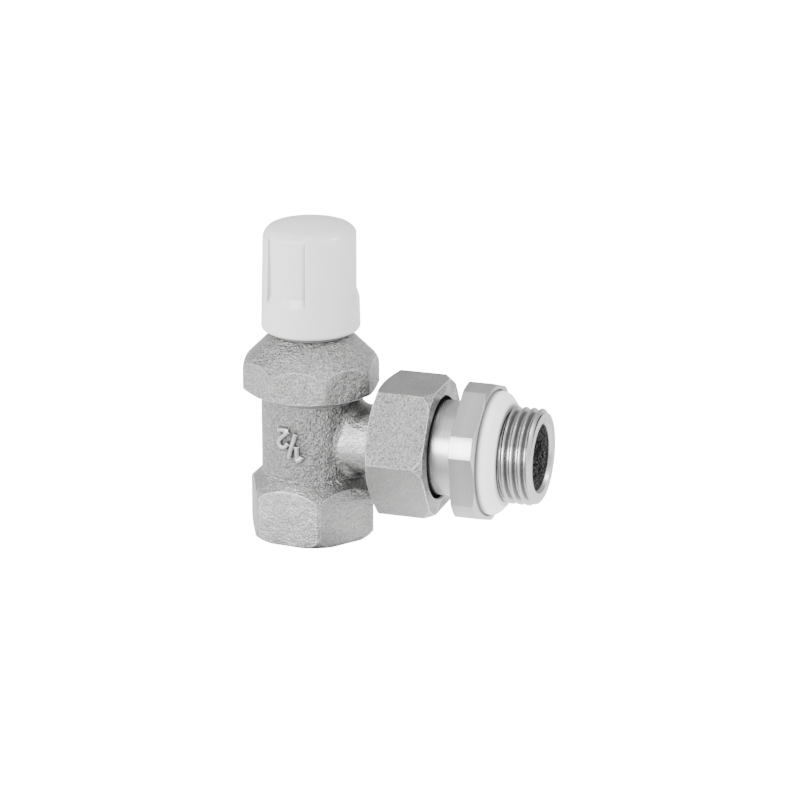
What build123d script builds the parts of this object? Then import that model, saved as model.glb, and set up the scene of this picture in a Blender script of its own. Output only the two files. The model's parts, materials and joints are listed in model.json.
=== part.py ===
"""Angle radiator valve, half inch, of the lockshield kind, in millimetres.

The origin is the centre of the foot's face, on the inlet axis. +Z runs up the body and +X along the
outlet to the radiator. The spindle is drawn fully open, the cap and the union nut fully tightened.
"""
import os
from math import radians, sin, sqrt, tan

from build123d import *

# Clearances
turning_fit = 0.05        # radial room between a piece and the bore that it turns or slides in
thread_fit = 0.05         # radial room between a male and a female thread, both at the major radius
face_gap = 0.05           # room between flat faces of neighbouring pieces
mouth_fit = 0.15          # radial room between the tail's neck and the outlet's mouth
seat_gap = 0.10           # room between a cone and its seat
ring_play = 0.15          # room between a spring ring and the sides of its groove
overlap = 1.0             # how far joined solids reach into each other

# Foot, with the female pipe thread G 1/2
foot_flats = 25.5         # across the flats of the foot's hexagon
foot_turned = 14.46       # radius to which the hexagon's corners are turned
foot_turn = -4.8          # angle of a corner from the outlet, in degrees
foot_face = 13.3          # radius of the foot's flat end
foot_edge = 1.3           # height of the rounding at the foot's end
foot_shoulder = 14.14     # height where the shoulder above the hexagon meets the neck
foot_round = 3.0          # radius that rolls the shoulder into the hexagon's corners
pipe_thread = 9.3155      # minor radius of the pipe thread
pipe_depth = 11.5         # depth of the pipe thread
pipe_lead = 0.45          # chamfer in the mouth of the pipe thread
drill_angle = 31.0        # slope of the drilled end of the pipe thread

# Neck and its waterway
neck_radius = 10.86
outlet_height = 21.9      # height of the outlet's axis above the foot's end
chamber_radius = 7.6      # bore from the top of the boss down to the seat
chamber_floor = 14.8
seat_bore = 4.4
seat_rise = 1.5           # height of the raised seat above the chamber's floor
seat_land = 0.8           # width of the raised seat's flat top
seat_cone = 1.2           # depth and width of the seat's cone
seat_draft = 0.4          # how much wider the raised seat is at its foot

# Octagonal boss at the top
boss_flats = 27.9
boss_turned = 14.94       # radius to which the octagon's corners are turned
boss_turn = 29.9          # angle of a corner from the outlet, in degrees
boss_bottom = 33.04       # lower end of the octagon's corners
boss_underside = 27.5     # slope of the boss's underside, in degrees
boss_cone_top = 44.85     # height of the boss's top face
boss_top_radius = 8.8
boss_round = 4.0          # radius that rolls the 45 degree cone into the octagon's corners

# Outlet, with the male thread for the union nut
outlet_radius = 7.65
outlet_bore = 6.0
outlet_fillet = 2.5       # where the outlet meets the neck
union_thread = 12.6       # major radius of the union thread
union_start = 17.4        # back of the threaded end, from the body's axis
union_end = 24.6
union_chamfer = 0.8
tail_guide = 1.7          # depth of the straight mouth that guides the tail
cone_angle = 60.0         # slope of the tail's conical seat from its axis, in degrees

# Bonnet
bonnet_bottom = 30.6
bonnet_skirt = 7.1        # radius below the bonnet's own thread
bonnet_thread_start = 37.0
bonnet_relief = 0.7       # height of the thread relief under the flange
bonnet_relief_depth = 0.5
bonnet_flange = 8.65      # radius
bonnet_flange_height = 1.0
gasket_height = 0.6
bonnet_top = 57.4
bonnet_slot = 3.0         # width of the two slots for the assembly key
bonnet_slot_depth = 1.6
bonnet_chamfer = 0.5
bonnet_lead = 0.4         # chamfer in the mouth of the spindle's bore

# Spindle
spindle_thread = 6.0      # major radius, pitch 1 mm
spindle_thread_bottom = 32.5
spindle_thread_length = 10.5
spindle_thread_chamfer = 0.5
spindle_thread_end = 38.2 # top of the female thread in the bonnet
spindle_land = 6.3        # radius of the bore in which the spindle's O-rings slide
spindle_head = 8.5        # length of the head that carries the two O-rings
head_chamfer = 0.3
spindle_neck = 5.2        # radius between the thread and the head
spindle_stem = 4.2        # radius below the thread
spindle_travel = 5.0      # from fully open down to the seat
key_flats = 5.0           # hexagon key
key_depth = 7.0
key_lead = 0.5
stem_ring = 1.4           # section of the two O-rings on the head
stem_ring_spacing = 3.6   # between the two O-rings
seat_ring = 1.6           # section of the O-ring that closes on the seat
seat_ring_room = 0.1      # how much wider the ring's centre line is than the seat's bore
plug_length = 3.2         # tapered plug below the seat's O-ring
plug_gap = 0.2            # radial room between the plug and the seat's bore
plug_taper = 0.7          # how much narrower its lower end is
plug_flange = 2.2         # height of the flange above the seat's O-ring
plug_flange_radius = 5.3
plug_flange_cone = 0.8    # height over which the flange narrows to the stem
groove_room = 0.3         # how much wider a groove is than the ring in it

# Spring ring in the bonnet's mouth
snap_height = 1.1
snap_lip = 1.0            # height of the bonnet's lip above the ring's groove
snap_depth = 0.65         # how deep it sits in the bonnet's wall
snap_width = 1.35
snap_opening = 50.0       # in degrees

# Cap
cap_rim = 45.86           # height of the cap's lower edge
cap_rim_radius = 10.74
cap_draft = 1.52          # in degrees
cap_top = 70.0
cap_crown = 1.8           # how much the crown is domed
cap_edge = 3.0            # radius of the edge between the side and the crown
cap_rim_round = 0.9
cap_thread = 8.4          # major radius of the thread under the cap
cap_thread_start = 47.3
cap_mouth = 0.55          # how much wider than the thread the cap's mouth is
cap_mouth_chamfer = 0.3
cap_inside = 7.6          # radius above the gasket
cap_inside_taper = 0.2
cap_inside_round = 1.5
cap_wall = 2.4            # thickness of the crown
cap_gasket_height = 1.3
cap_gasket_width = 1.4
pocket_count = 3
pocket_floor = 9.92       # radius of the pockets' floor
pocket_bottom = 52.8      # where the pockets end
pocket_slope = 2.0        # height of their sloped lower end
pocket_round = 0.5
pocket_angle = 55.4       # width of a pocket, in degrees
pocket_centre = -104.0    # direction of the first pocket from the outlet, in degrees

# Union nut
nut_flats = 27.6
nut_turned = 15.9         # radius to which the nut's corners are turned
nut_turn = -1.2           # angle of a corner above the direction -Y, in degrees
nut_back = 16.8           # from the body's axis
nut_back_face = 13.2      # radius of its back face
nut_back_chamfer = 1.1    # length of its back chamfer
nut_back_round = 0.3
nut_corner_round = 0.3    # where the back chamfer meets the turned corners
nut_front = 30.0
nut_front_face = 14.7
nut_front_chamfer = 1.8
nut_front_round = 0.3
nut_lip = 2.8             # thickness of the lip that pulls the tail in
nut_hole = 11.1
nut_hole_chamfer = 0.3
nut_lead = 0.5

# Tail
tail_neck = 10.3
tail_bore = 7.16
tail_nose_radius = 7.9    # outer radius of the tail's end in the body
tail_hex_back = 36.0      # from the body's axis
tail_hex_front = 41.5
tail_flats = 29.0
tail_turned = 15.55       # radius to which the hexagon's corners are turned
tail_hex_turn = 19.8      # angle of a corner above the direction -Y, in degrees
tail_face = 14.55         # radius of the hexagon's front face
tail_hex_chamfer = 30.0   # slope of the hexagon's front chamfer, in degrees
tail_end = 52.3
pipe_major = 10.4775      # major radius of the pipe thread G 1/2
tail_end_chamfer = 0.8
tail_relief = 9.25        # radius of the undercut behind the thread, in which the sealing ring sits
tail_lead = 0.4           # length of the thread's first chamfer
seal_recess = 13.6        # radius of the recess in the hexagon's face
seal_recess_depth = 1.5

# White sealing ring
seal_radius = 13.33
seal_end = 44.9           # front of the ring, from the body's axis
seal_straight = 43.2      # where its outer edge starts to round
seal_front = 11.3         # radius of its flat front
seal_edge = 0.3           # rounding of its back and front edges
seal_round = 2.0          # rounding of its outer edge
seal_room = 0.12          # radial room between the ring and the tail

# Spring ring that holds the nut on the tail
keeper_depth = 1.0        # how deep its groove is in the tail
keeper_width = 1.5
keeper_radius = 11.75
keeper_round = 0.3
keeper_opening = 40.0     # in degrees


def profile(*corners):
    """A closed face from (a, b) corners, with a third number where a corner is rounded."""
    face = make_face(Polyline(*[(a, b) for a, b, *_ in corners], close=True))
    for a, b, *size in corners:
        if size:
            corner = face.vertices().sort_by_distance((a, b, 0))[0]
            face = fillet(corner, size[0])
    return face


def upright(*corners, angle=360):
    """A piece turned about the body's axis, from (radius, height) corners."""
    return revolve(Plane.XZ * profile(*corners), Axis.Z, angle)


def sideways(*corners, angle=360):
    """A piece turned about the outlet's axis, from (x, radius) corners."""
    return Pos(0, 0, outlet_height) * revolve(Plane.XZ * profile(*corners), Axis.X, angle)


def upright_ring(inner, outer, bottom, height):
    """A flat ring about the body's axis."""
    return upright((inner, bottom), (outer, bottom), (outer, bottom + height), (inner, bottom + height))


def o_ring(radius, height, section):
    """An O-ring about the body's axis, with its centre at the given radius and height."""
    return Pos(0, 0, height) * Torus(radius, section / 2)


def upright_prism(flats, sides, turn, bottom, top):
    """A prism about the body's axis, with a corner at the angle turn from the outlet."""
    outline = RegularPolygon(flats / 2, sides, major_radius=False, rotation=turn)
    return Pos(0, 0, bottom) * extrude(outline, top - bottom)


def sideways_prism(flats, turn, start, end):
    """A hexagonal prism about the outlet's axis, with a corner at the angle turn above the direction -Y."""
    outline = RegularPolygon(flats / 2, 6, major_radius=False)
    bar = Plane.YZ * extrude(outline, end - start)
    return Pos(start, 0, outlet_height) * Rot(180 - turn, 0, 0) * bar


# Values that follow from the sizes above
gasket_bottom = boss_cone_top + face_gap
bonnet_flange_bottom = gasket_bottom + gasket_height + face_gap
cap_thread_bottom = bonnet_flange_bottom + bonnet_flange_height
head_bore = spindle_land + turning_fit
snap_bottom = bonnet_top - snap_lip - snap_height - ring_play
snap_radius = head_bore + snap_depth
spindle_top = snap_bottom - ring_play
head_bottom = spindle_top - spindle_head
stem_ring_middle = head_bottom + spindle_head / 2
stem_ring_lower = stem_ring_middle - stem_ring_spacing / 2
stem_ring_upper = stem_ring_middle + stem_ring_spacing / 2
seat_top = chamber_floor + seat_rise
seat_ring_radius = seat_bore + seat_ring_room
seat_ring_lift = seat_ring / 2 / sin(radians(45)) + seat_ring_room + seat_gap
seat_ring_open = seat_top - seat_cone + seat_ring_lift + spindle_travel
plug_top = seat_ring_open - (seat_ring + groove_room) / 2
plug_flange_bottom = seat_ring_open + (seat_ring + groove_room) / 2
cap_gasket_bottom = bonnet_top + face_gap
cap_shoulder = cap_gasket_bottom + cap_gasket_height + face_gap
cap_bore = cap_thread + thread_fit
cap_mouth_radius = cap_bore + cap_mouth
mouth_radius = tail_neck + mouth_fit
cone_start = union_end - tail_guide
lip_face = nut_front - nut_lip
keeper_start = lip_face - face_gap - keeper_width
keeper_groove = tail_neck - keeper_depth
tail_relief_end = seal_end + face_gap


def foot():
    """Hexagon with turned corners, rolled into a 45 degree shoulder."""
    reach = foot_shoulder + neck_radius
    top = foot_shoulder + overlap
    envelope = upright(
        (0, 0), (foot_face, 0), (foot_turned, foot_edge, foot_edge),
        (foot_turned, reach - foot_turned, foot_round), (neck_radius - overlap, top), (0, top))
    return envelope & upright_prism(foot_flats, 6, foot_turn, 0, top)


def boss():
    """Octagon with turned corners, a 45 degree cone above it and a sloped underside."""
    reach = boss_cone_top + boss_top_radius
    inner = neck_radius - overlap
    under = boss_bottom - (boss_turned - inner) * tan(radians(boss_underside))
    envelope = upright(
        (0, under), (inner, under), (boss_turned, boss_bottom), (boss_turned, reach - boss_turned, boss_round),
        (boss_top_radius, boss_cone_top), (0, boss_cone_top))
    return envelope & upright_prism(boss_flats, 8, boss_turn, under, boss_cone_top)


def outlet():
    """Round outlet from the neck, with the threaded end for the union nut."""
    return sideways(
        (0, 0), (0, outlet_radius), (union_start, outlet_radius), (union_start, union_thread - union_chamfer),
        (union_start + union_chamfer, union_thread), (union_end - union_chamfer, union_thread),
        (union_end, union_thread - union_chamfer), (union_end, 0))


def inlet_hollow():
    """Pipe thread with its lead chamfer and drilled end, up to the bore of the seat."""
    drilled = pipe_depth + (pipe_thread - seat_bore) * tan(radians(drill_angle))
    return upright(
        (0, 0), (pipe_thread + pipe_lead, 0), (pipe_thread, pipe_lead), (pipe_thread, pipe_depth),
        (seat_bore, drilled), (seat_bore, seat_top), (0, seat_top))


def chamber_hollow():
    """Chamber round the raised seat, with the seat's cone, open to the top of the boss."""
    rim = seat_bore + seat_cone
    return upright(
        (0, seat_top - seat_cone), (seat_bore, seat_top - seat_cone), (rim, seat_top),
        (rim + seat_land, seat_top), (rim + seat_land + seat_draft, chamber_floor),
        (chamber_radius, chamber_floor), (chamber_radius, boss_cone_top), (0, boss_cone_top))


def outlet_hollow():
    """Waterway of the outlet, with the conical seat and the mouth for the tail."""
    cone_depth = (mouth_radius - outlet_bore) / tan(radians(cone_angle))
    return sideways(
        (0, 0), (0, outlet_bore), (cone_start - cone_depth, outlet_bore), (cone_start, mouth_radius),
        (union_end, mouth_radius), (union_end, 0))


def valve_body():
    """The casting: the neck filleted into the outlet, the foot, the boss and the machined hollows."""
    # the neck's seam is turned away from the outlet, so that the junction is one edge
    neck_top = boss_cone_top + boss_top_radius - neck_radius - overlap
    neck = Pos(0, 0, foot_edge) * Rot(0, 0, 180) * Cylinder(
        neck_radius, neck_top - foot_edge, align=(Align.CENTER, Align.CENTER, Align.MIN))
    solid = neck + outlet()
    junction = solid.edges().filter_by(
        lambda e: abs(e.center().Z - outlet_height) < outlet_radius + overlap
        and abs(e.center().X - neck_radius) < overlap)
    solid = fillet(junction, outlet_fillet)
    return solid + foot() + boss() - inlet_hollow() - chamber_hollow() - outlet_hollow()


def bonnet():
    """Headwork: thread into the boss, flange, thread for the cap, and the spindle's bore with its thread."""
    thread = chamber_radius - thread_fit
    female = spindle_thread + thread_fit
    relief = thread - bonnet_relief_depth
    groove = snap_radius + ring_play
    groove_top = snap_bottom + snap_height + ring_play
    solid = upright(
        (female + bonnet_chamfer, bonnet_bottom), (bonnet_skirt, bonnet_bottom),
        (bonnet_skirt, bonnet_thread_start), (thread, bonnet_thread_start + thread - bonnet_skirt),
        (thread, boss_cone_top - bonnet_relief), (relief, boss_cone_top - bonnet_relief),
        (relief, bonnet_flange_bottom), (bonnet_flange, bonnet_flange_bottom),
        (bonnet_flange, cap_thread_bottom), (cap_thread, cap_thread_bottom),
        (cap_thread, bonnet_top - bonnet_chamfer), (cap_thread - bonnet_chamfer, bonnet_top),
        (head_bore + bonnet_lead, bonnet_top), (head_bore, bonnet_top - bonnet_lead), (head_bore, groove_top),
        (groove, groove_top), (groove, snap_bottom - ring_play), (head_bore, snap_bottom - ring_play),
        (head_bore, spindle_thread_end + head_bore - female), (female, spindle_thread_end),
        (female, bonnet_bottom + bonnet_chamfer))
    slot = Pos(0, 0, bonnet_top) * Box(2 * (cap_thread + overlap), bonnet_slot, 2 * bonnet_slot_depth)
    return solid - slot


def bonnet_gasket():
    """Flat ring between the boss's top face and the bonnet's flange."""
    return upright_ring(chamber_radius + turning_fit, bonnet_flange - turning_fit, gasket_bottom, gasket_height)


def ring_groove(radius, depth, height, width):
    """A groove for an O-ring, to be cut from a shaft of the given radius."""
    return upright_ring(radius - depth, radius + overlap, height - width / 2, width)


def shutoff_spindle():
    """Head with two O-ring grooves and a hexagon socket, thread, stem and the regulating plug."""
    land = spindle_land - turning_fit
    thread = spindle_thread - thread_fit
    thread_top = spindle_thread_bottom + spindle_thread_length
    plug = seat_bore - plug_gap
    seat_groove = seat_ring_radius - seat_ring / 2 - face_gap
    flange_top = plug_flange_bottom + plug_flange
    solid = upright(
        (0, plug_top - plug_length), (plug - plug_taper, plug_top - plug_length), (plug, plug_top),
        (seat_groove, plug_top), (seat_groove, plug_flange_bottom), (plug_flange_radius, plug_flange_bottom),
        (plug_flange_radius, flange_top - plug_flange_cone), (spindle_stem, flange_top),
        (spindle_stem, spindle_thread_bottom - spindle_thread_chamfer), (thread, spindle_thread_bottom),
        (thread, thread_top - spindle_thread_chamfer), (spindle_neck, thread_top), (spindle_neck, head_bottom),
        (land, head_bottom), (land, spindle_top - head_chamfer), (land - head_chamfer, spindle_top),
        (0, spindle_top))
    for height in (stem_ring_lower, stem_ring_upper):
        solid -= ring_groove(land, stem_ring, height, stem_ring + groove_room)
    socket = Pos(0, 0, spindle_top - key_depth) * extrude(
        RegularPolygon(key_flats / 2, 6, major_radius=False), key_depth)
    lead = upright(
        (0, spindle_top - key_lead), (key_flats / 2, spindle_top - key_lead),
        (key_flats / 2 + key_lead, spindle_top), (0, spindle_top))
    return solid - socket - lead


def stem_o_ring(height):
    """O-ring between its groove in the spindle's head and the bonnet's bore, touching neither."""
    inner = spindle_land - turning_fit - stem_ring + face_gap
    return o_ring((inner + spindle_land) / 2, height, spindle_land - inner)


def seat_o_ring():
    """O-ring on the plug, which closes on the seat's cone."""
    return o_ring(seat_ring_radius, seat_ring_open, seat_ring)


def spindle_snap_ring():
    """Open spring ring in the bonnet's mouth, which stops the spindle."""
    ring = upright(
        (snap_radius - snap_width, snap_bottom), (snap_radius, snap_bottom),
        (snap_radius, snap_bottom + snap_height), (snap_radius - snap_width, snap_bottom + snap_height),
        angle=360 - snap_opening)
    return Rot(0, 0, snap_opening / 2) * ring


def cap_side(height):
    """Outer radius of the cap's side at a height."""
    return cap_rim_radius - (height - cap_rim) * tan(radians(cap_draft))


def cap_shell():
    """The cap's drafted side and domed crown, before it is hollowed."""
    shoulder = cap_top - cap_crown
    edge = cap_side(shoulder)
    dome = (edge ** 2 + cap_crown ** 2) / (2 * cap_crown)
    halfway = cap_top - dome + sqrt(dome ** 2 - edge ** 2 / 4)
    side = Polyline((0, cap_top), (0, cap_rim), (cap_rim_radius, cap_rim), (edge, shoulder))
    crown = ThreePointArc((edge, shoulder), (edge / 2, halfway), (0, cap_top))
    section = make_face(side + crown)
    section = fillet(section.vertices().sort_by_distance((edge, shoulder, 0))[0], cap_edge)
    section = fillet(section.vertices().sort_by_distance((cap_rim_radius, cap_rim, 0))[0], cap_rim_round)
    return revolve(Plane.XZ * section, Axis.Z)


def cap_hollow():
    """The cap's mouth, thread, shoulder over the gasket and the hollow above."""
    crown = cap_top - cap_wall
    return upright(
        (0, cap_rim), (cap_mouth_radius + cap_mouth_chamfer, cap_rim),
        (cap_mouth_radius, cap_rim + cap_mouth_chamfer), (cap_mouth_radius, cap_thread_start - cap_mouth),
        (cap_bore, cap_thread_start), (cap_bore, cap_shoulder), (cap_inside, cap_shoulder),
        (cap_inside - cap_inside_taper, crown, cap_inside_round), (0, crown))


def cap_pocket():
    """The first grip pocket, open to the crown, with a sloped lower end."""
    outside = cap_rim_radius + overlap
    pocket = upright(
        (pocket_floor, pocket_bottom + pocket_slope, pocket_round), (cap_side(pocket_bottom), pocket_bottom),
        (outside, pocket_bottom), (outside, cap_top), (pocket_floor, cap_top), angle=pocket_angle)
    return Rot(0, 0, pocket_centre - pocket_angle / 2) * pocket


def cap():
    """White screw cap with three grip pockets."""
    shell = cap_shell() - cap_hollow()
    for index in range(pocket_count):
        shell -= Rot(0, 0, index * 360 / pocket_count) * cap_pocket()
    return shell


def cap_gasket():
    """Flat ring in the cap, which lies on the bonnet's end."""
    return upright_ring(cap_thread - cap_gasket_width, cap_thread, cap_gasket_bottom, cap_gasket_height)


def union_nut():
    """Hexagon nut with turned corners, a female thread and a lip that pulls the tail in."""
    thread = union_thread + thread_fit
    envelope = sideways(
        (nut_back, nut_hole), (nut_back, nut_back_face, nut_back_round),
        (nut_back + nut_back_chamfer, nut_turned, nut_corner_round),
        (nut_front - nut_front_chamfer, nut_turned, nut_front_round), (nut_front, nut_front_face),
        (nut_front, nut_hole))
    hollow = sideways(
        (nut_back, nut_hole - overlap), (nut_back, thread + nut_lead), (nut_back + nut_lead, thread),
        (lip_face, thread), (lip_face, nut_hole), (nut_front - nut_hole_chamfer, nut_hole),
        (nut_front, nut_hole + nut_hole_chamfer), (nut_front, nut_hole - overlap))
    return (envelope & sideways_prism(nut_flats, nut_turn, nut_back, nut_front)) - hollow


def nut_retaining_ring():
    """Open spring ring in the tail's groove, on which the nut's lip pulls."""
    return sideways(
        (keeper_start, keeper_groove + face_gap), (keeper_start, keeper_radius, keeper_round),
        (keeper_start + keeper_width, keeper_radius, keeper_round),
        (keeper_start + keeper_width, keeper_groove + face_gap), angle=360 - keeper_opening)


def tail_nose():
    """Corners of the tail's end in the body: the conical seat that is parallel to the body's."""
    slope = tan(radians(cone_angle))
    front = cone_start - mouth_fit / slope + seat_gap / sin(radians(cone_angle))
    back = front - (tail_neck - tail_nose_radius) / slope
    return (back, tail_bore), (back, tail_nose_radius), (front, tail_neck)


def tail_piece():
    """Tail with a conical end, a smooth neck, a hexagon with turned corners and the male pipe thread."""
    nose = tail_nose()
    back = nose[0][0]
    chamfer = (tail_turned - tail_face) * tan(radians(tail_hex_chamfer))
    recess = tail_hex_front - seal_recess_depth
    turned = sideways(
        *nose, (keeper_start - ring_play, tail_neck), (keeper_start - ring_play, keeper_groove),
        (keeper_start + keeper_width + ring_play, keeper_groove),
        (keeper_start + keeper_width + ring_play, tail_neck), (tail_hex_back, tail_neck),
        (tail_hex_back, tail_turned), (tail_hex_front - chamfer, tail_turned), (tail_hex_front, tail_face),
        (tail_hex_front, seal_recess), (recess, seal_recess), (recess, tail_relief),
        (tail_relief_end, tail_relief), (tail_relief_end + tail_lead, pipe_major),
        (tail_end - tail_end_chamfer, pipe_major), (tail_end, pipe_major - tail_end_chamfer),
        (tail_end, tail_bore))
    hexagon = sideways_prism(tail_flats, tail_hex_turn, tail_hex_back, tail_hex_front)
    neck = sideways((back, 0), (back, tail_neck), (tail_hex_back, tail_neck), (tail_hex_back, 0))
    end = sideways((tail_hex_front, 0), (tail_hex_front, pipe_major), (tail_end, pipe_major), (tail_end, 0))
    return turned & (hexagon + neck + end)


def tail_seal():
    """White ring in the recess of the tail's hexagon, which seals on the radiator."""
    back = tail_hex_front - seal_recess_depth + face_gap
    inner = tail_relief + seal_room
    return sideways(
        (back, inner), (back, seal_radius, seal_edge), (seal_straight, seal_radius, seal_round),
        (seal_end, seal_front, seal_edge), (seal_end, inner))


def main():
    pieces = {
        "valve_body": valve_body(),
        "bonnet": bonnet(),
        "bonnet_gasket": bonnet_gasket(),
        "shutoff_spindle": shutoff_spindle(),
        "stem_o_ring_lower": stem_o_ring(stem_ring_lower),
        "stem_o_ring_upper": stem_o_ring(stem_ring_upper),
        "seat_o_ring": seat_o_ring(),
        "spindle_snap_ring": spindle_snap_ring(),
        "cap": cap(),
        "cap_gasket": cap_gasket(),
        "union_nut": union_nut(),
        "nut_retaining_ring": nut_retaining_ring(),
        "tail_piece": tail_piece(),
        "tail_seal": tail_seal(),
    }
    os.makedirs("parts", exist_ok=True)
    for name, piece in pieces.items():
        export_step(piece, f"parts/{name}.step")


if __name__ == "__main__":
    main()
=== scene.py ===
"""Finishes, threads, size mark and studio for the angle radiator valve.

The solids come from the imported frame, in metres, with +Z up the spindle and +X along the outlet.
"""

import json
from collections import namedtuple
from math import cos, radians, sin, tau

import bmesh
import bpy
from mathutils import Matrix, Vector

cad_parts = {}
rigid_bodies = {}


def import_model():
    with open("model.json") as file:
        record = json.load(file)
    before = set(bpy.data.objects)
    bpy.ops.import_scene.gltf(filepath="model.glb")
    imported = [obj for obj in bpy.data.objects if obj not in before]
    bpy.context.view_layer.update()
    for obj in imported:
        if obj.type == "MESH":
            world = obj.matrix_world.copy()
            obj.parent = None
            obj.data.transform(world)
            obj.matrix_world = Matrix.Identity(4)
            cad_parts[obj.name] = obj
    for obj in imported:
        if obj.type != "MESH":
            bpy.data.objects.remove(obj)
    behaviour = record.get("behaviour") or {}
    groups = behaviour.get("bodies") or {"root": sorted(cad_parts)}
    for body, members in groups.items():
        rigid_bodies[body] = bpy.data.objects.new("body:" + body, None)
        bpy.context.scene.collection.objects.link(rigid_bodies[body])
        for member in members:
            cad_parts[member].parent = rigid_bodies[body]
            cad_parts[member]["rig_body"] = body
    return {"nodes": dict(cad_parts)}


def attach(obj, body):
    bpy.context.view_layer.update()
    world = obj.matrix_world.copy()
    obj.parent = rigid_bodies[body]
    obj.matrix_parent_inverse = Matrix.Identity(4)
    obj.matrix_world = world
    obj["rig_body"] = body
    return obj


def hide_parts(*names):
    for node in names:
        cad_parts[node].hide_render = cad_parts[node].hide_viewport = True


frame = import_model()

bl_info = {
    "name": "Angle radiator valve",
    "version": (1, 0, 0),
    "blender": (4, 5, 0),
    "location": "3D View > Sidebar > Valve",
    "description": "Dresses the solids of a half-inch angle radiator valve",
    "category": "Object",
}

MM = 0.001
OUTLET_HEIGHT = 21.9 * MM
BODY_AXIS = (Vector((0, 0, 0)), Vector((0, 0, 1)))
OUTLET_AXIS = (Vector((0, 0, OUTLET_HEIGHT)), Vector((1, 0, 0)))

# Plain barrels and bores of the solids that get a thread

Barrel = namedtuple("Barrel", "axis start end radius")

OUTLET_BARREL = Barrel(OUTLET_AXIS, 17.4 * MM, 24.6 * MM, 12.6 * MM)
NUT_BORE = Barrel(OUTLET_AXIS, 17.3 * MM, 27.2 * MM, 12.65 * MM)
TAIL_BARREL = Barrel(OUTLET_AXIS, 44.95 * MM, 52.3 * MM, 10.4775 * MM)
FOOT_BORE = Barrel(BODY_AXIS, 0.0, 11.5 * MM, 9.3155 * MM)
BONNET_BARREL = Barrel(BODY_AXIS, 46.55 * MM, 55.6 * MM, 8.4 * MM)
CAP_BORE = Barrel(BODY_AXIS, 47.3 * MM, 58.8 * MM, 8.45 * MM)

NECK_RADIUS = 10.86 * MM
OUTLET_CORE = 11.6 * MM     # the outlet's thread stays outside this radius, and its plain part inside
TAIL_CHAMFER = 0.8 * MM     # at the tail's mouth
THREAD_ROOM = 0.03 * MM     # a male and a female thread stay this much clear of each other
SAME_PLACE = 0.001 * MM     # vertices this close are joined
COLUMNS = 96                # faces round a thread or a turned surface
ROWS = 12                   # faces along one pitch of a thread

# Places of the finishes in each piece's list, after its main finish at 0

MACHINED, SMOOTH, NECK, FOOT = 1, 2, 3, 4
SATIN = 2
THREAD, BORE = 1, 2


# Sizes and colours that a user may change

def colour(name, description, default):
    return bpy.props.FloatVectorProperty(name=name, description=description, default=default, size=3,
                                         min=0, max=1, subtype="COLOR")


def share(name, description, default):
    return bpy.props.FloatProperty(name=name, description=description, default=default, min=0, max=1,
                                   subtype="FACTOR")


def length(name, description, default):
    return bpy.props.FloatProperty(name=name, description=description, default=default, min=0,
                                   unit="LENGTH", precision=5)


def angle(name, description, default):
    return bpy.props.FloatProperty(name=name, description=description, default=radians(default),
                                   subtype="ANGLE", unit="ROTATION")


class CastingFinish(bpy.types.PropertyGroup):
    metal: colour("Metal", "Colour of the nickel plating on the blasted casting", (0.31, 0.31, 0.307))
    roughness: share("Roughness", "Roughness of the blasted plating", 0.36)
    grain: length("Grain", "Size of the blasting grain", 0.00036)
    grain_depth: length("Grain depth", "Depth of the blasting grain", 0.00060)
    edge_round: length("Edge rounding", "Rounding of the casting's edges", 0.00038)


class TurnedFinish(bpy.types.PropertyGroup):
    metal: colour("Metal", "Colour of the chrome on the turned tail", (0.40, 0.40, 0.40))
    roughness: share("Roughness", "Roughness of the turned chrome", 0.27)
    mark_depth: length("Turning marks", "Depth of the turning marks", 0.000006)
    edge_round: length("Edge rounding", "Rounding of the turned edges", 0.00015)


class PlasticFinish(bpy.types.PropertyGroup):
    cap: colour("Cap", "Colour of the moulded cap", (0.67, 0.665, 0.66))
    cap_roughness: share("Cap roughness", "Roughness of the moulded cap", 0.24)
    seal: colour("Sealing ring", "Colour of the sealing ring", (0.96, 0.96, 0.95))
    seal_roughness: share("Seal roughness", "Roughness of the sealing ring", 0.55)


class ThreadSizes(bpy.types.PropertyGroup):
    pipe_pitch: length("Pipe pitch", "Pitch of the G 1/2 pipe thread", 0.0018143)
    pipe_depth: length("Pipe depth", "Depth of the G 1/2 pipe thread", 0.001162)
    metric_pitch: length("Metric pitch", "Pitch of the union's and the cap's threads", 0.0015)
    metric_depth: length("Metric depth", "Depth of the union's and the cap's threads", 0.00092)


class MarkSizes(bpy.types.PropertyGroup):
    stroke: length("Stroke", "Radius of the raised strokes", 0.00060)
    raised: length("Raised", "How far the strokes stand out of the neck", 0.00072)


class StudioSettings(bpy.types.PropertyGroup):
    azimuth: angle("Azimuth", "Direction from which the camera looks", 18.64)
    elevation: angle("Elevation", "Height of the camera above the horizon", 17.899)
    distance: length("Distance", "Distance of the camera from its target", 0.752083)
    target: bpy.props.FloatVectorProperty(
        name="Target", description="Point that the camera looks at", default=(0.020252, 0.0, 0.031517),
        size=3, subtype="TRANSLATION", unit="LENGTH")
    lens: bpy.props.FloatProperty(
        name="Lens", description="Focal length on a 36 mm sensor", default=157.5)
    floor: colour("Floor", "Colour of the floor", (0.5, 0.5, 0.5))
    glow: bpy.props.FloatProperty(
        name="Glow", description="Light that the floor gives to the valve", default=0.85)
    white: bpy.props.FloatProperty(
        name="White", description="Brightness of the floor to the camera", default=16.0)


# Node helpers

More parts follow.
